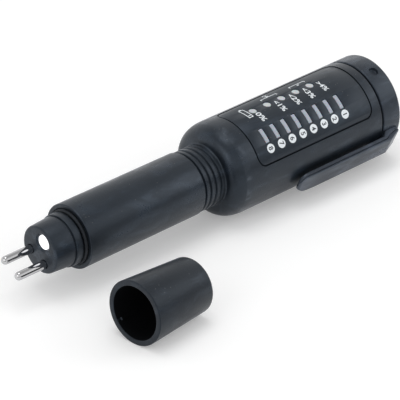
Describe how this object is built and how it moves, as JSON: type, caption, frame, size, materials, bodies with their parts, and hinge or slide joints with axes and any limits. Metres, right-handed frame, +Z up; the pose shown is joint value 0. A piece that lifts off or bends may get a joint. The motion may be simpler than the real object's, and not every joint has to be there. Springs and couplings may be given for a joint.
{
  "type": "brake fluid tester",
  "caption": "Pen-shaped brake fluid tester: slim barrel with probe pins and a work light, round head with a curved display panel, pocket clip, rear push-button and a loose protective cap.",
  "frame": {"origin": "on the floor, in the middle of the whole outline of the tester and its loose cap", "axes": "+X along the tester from its probe pins to its end cap, +Z up, the pocket clip on the -Y side"},
  "size_m": [0.1596, 0.0696, 0.0332],
  "materials": {
    "slate_plastic": "fine satin texture, dark slate grey",
    "panel_plastic": "fine matte texture, a little darker than the housing",
    "button_plastic": "matte black",
    "holder_plastic": "plain black moulding",
    "frosted_guide": "frosted, lets light through",
    "lamp_body": "pale lamp bodies",
    "work_light_lens": "clear dome, lit white",
    "circuit_board": "green lacquer",
    "chip_plastic": "black moulding",
    "cell_jacket": "plain printed jacket",
    "nickel_contact": "bright nickel",
    "steel_screw": "zinc plated",
    "chrome_pin": "polished",
    "seal_rubber": "black",
    "red_wire_skin": "soft red insulation",
    "black_wire_skin": "soft black insulation"
  },
  "bodies": {
    "tester": {"housing": "slate_plastic", "display_panel": "panel_plastic", "bar_light_guide": "frosted_guide", "dot_light_guide": "frosted_guide", "display_board": "circuit_board", "microcontroller": "chip_plastic", "bar_lamp_1": "lamp_body", "bar_lamp_2": "lamp_body", "bar_lamp_3": "lamp_body", "bar_lamp_4": "lamp_body", "bar_lamp_5": "lamp_body", "bar_lamp_6": "lamp_body", "bar_lamp_7": "lamp_body", "bar_lamp_8": "lamp_body", "dot_lamp_1": "lamp_body", "dot_lamp_2": "lamp_body", "dot_lamp_3": "lamp_body", "dot_lamp_4": "lamp_body", "dot_lamp_5": "lamp_body", "battery_holder": "holder_plastic", "cell_1": "cell_jacket", "cell_2": "cell_jacket", "front_spring": "nickel_contact", "front_contact": "nickel_contact", "probe_head": "slate_plastic", "probe_seal": "seal_rubber", "probe_pin_1": "chrome_pin", "probe_pin_2": "chrome_pin", "work_light": "work_light_lens", "probe_board": "circuit_board", "probe_wire_1": "red_wire_skin", "probe_wire_2": "black_wire_skin", "light_wire_1": "red_wire_skin", "light_wire_2": "black_wire_skin", "end_seal": "seal_rubber"},
    "end_cap": {"end_cap": "slate_plastic", "switch_board": "circuit_board", "tact_switch": "chip_plastic", "board_screw_1": "steel_screw", "board_screw_2": "steel_screw", "rear_spring": "nickel_contact", "rear_contact": "nickel_contact"},
    "power_button": {"power_button": "button_plastic"},
    "pocket_clip": {"pocket_clip": "slate_plastic"},
    "probe_cap": {"probe_cap": "slate_plastic"}
  },
  "joints": [
    {"name": "end_cap_pull", "type": "slide", "parent": "tester", "child": "end_cap", "axis": [1, 0, 0], "range_m": [0, 0.03]},
    {"name": "power_button_press", "type": "slide", "parent": "end_cap", "child": "power_button", "axis": [-1, 0, 0], "range_m": [0, 0.0008], "stiffness_N_per_m": 1500},
    {"name": "pocket_clip_flex", "type": "hinge", "parent": "end_cap", "child": "pocket_clip", "pos_m": [0.07785, 0.0027, 0.00972], "axis": [0, -0.4067, 0.9135], "range_deg": [0, 3], "stiffness_Nm_per_rad": 5},
    {"name": "probe_cap_lift", "type": "slide", "parent": "tester", "child": "probe_cap", "axis": [0, 0, 1], "range_m": [0, 0.08]}
  ]
}
